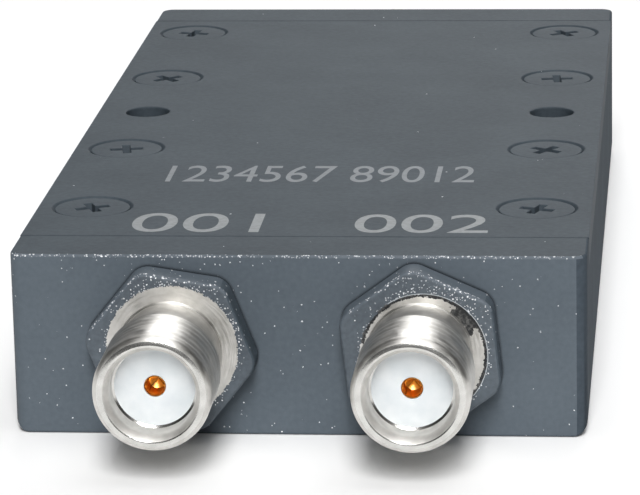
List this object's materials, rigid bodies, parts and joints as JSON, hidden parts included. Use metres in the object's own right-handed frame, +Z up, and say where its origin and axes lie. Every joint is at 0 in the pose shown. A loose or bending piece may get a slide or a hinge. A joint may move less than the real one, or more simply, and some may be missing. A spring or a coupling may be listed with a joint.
{
  "type": "coaxial splitter",
  "caption": "Flat painted metal box with threaded coaxial jacks at both ends that divides one radio signal between the outputs.",
  "frame": {"origin": "middle of the bottom face of the box", "axes": "+X across the box, +Y from the output face to the input face, +Z up through the cover"},
  "size_m": [0.032, 0.085, 0.0103],
  "materials": {
    "enamel": "blue-grey sprayed enamel with a fine orange peel",
    "stainless": "turned and passivated stainless steel",
    "ptfe": "machined white fluoropolymer",
    "gold": "gold plate over beryllium copper",
    "laminate": "glass-filled laminate",
    "copper": "etched copper foil",
    "resistor": "glazed chip with tinned ends",
    "solder": "bright reflowed solder",
    "screw_steel": "plain steel"
  },
  "bodies": {
    "root": {"housing": "enamel", "cover": "enamel", "cover_screws": "enamel", "output_jack_1_shell": "stainless", "output_jack_1_insulator": "ptfe", "output_jack_1_contact": "gold", "output_jack_2_shell": "stainless", "output_jack_2_insulator": "ptfe", "output_jack_2_contact": "gold", "input_jack_shell": "stainless", "input_jack_insulator": "ptfe", "input_jack_contact": "gold", "circuit_board": "laminate", "ground_plane": "copper", "splitter_track": "copper", "isolation_resistor_1": "resistor", "isolation_resistor_2": "resistor", "isolation_resistor_3": "resistor", "solder_joints": "solder", "board_screws": "screw_steel"}
  },
  "joints": []
}
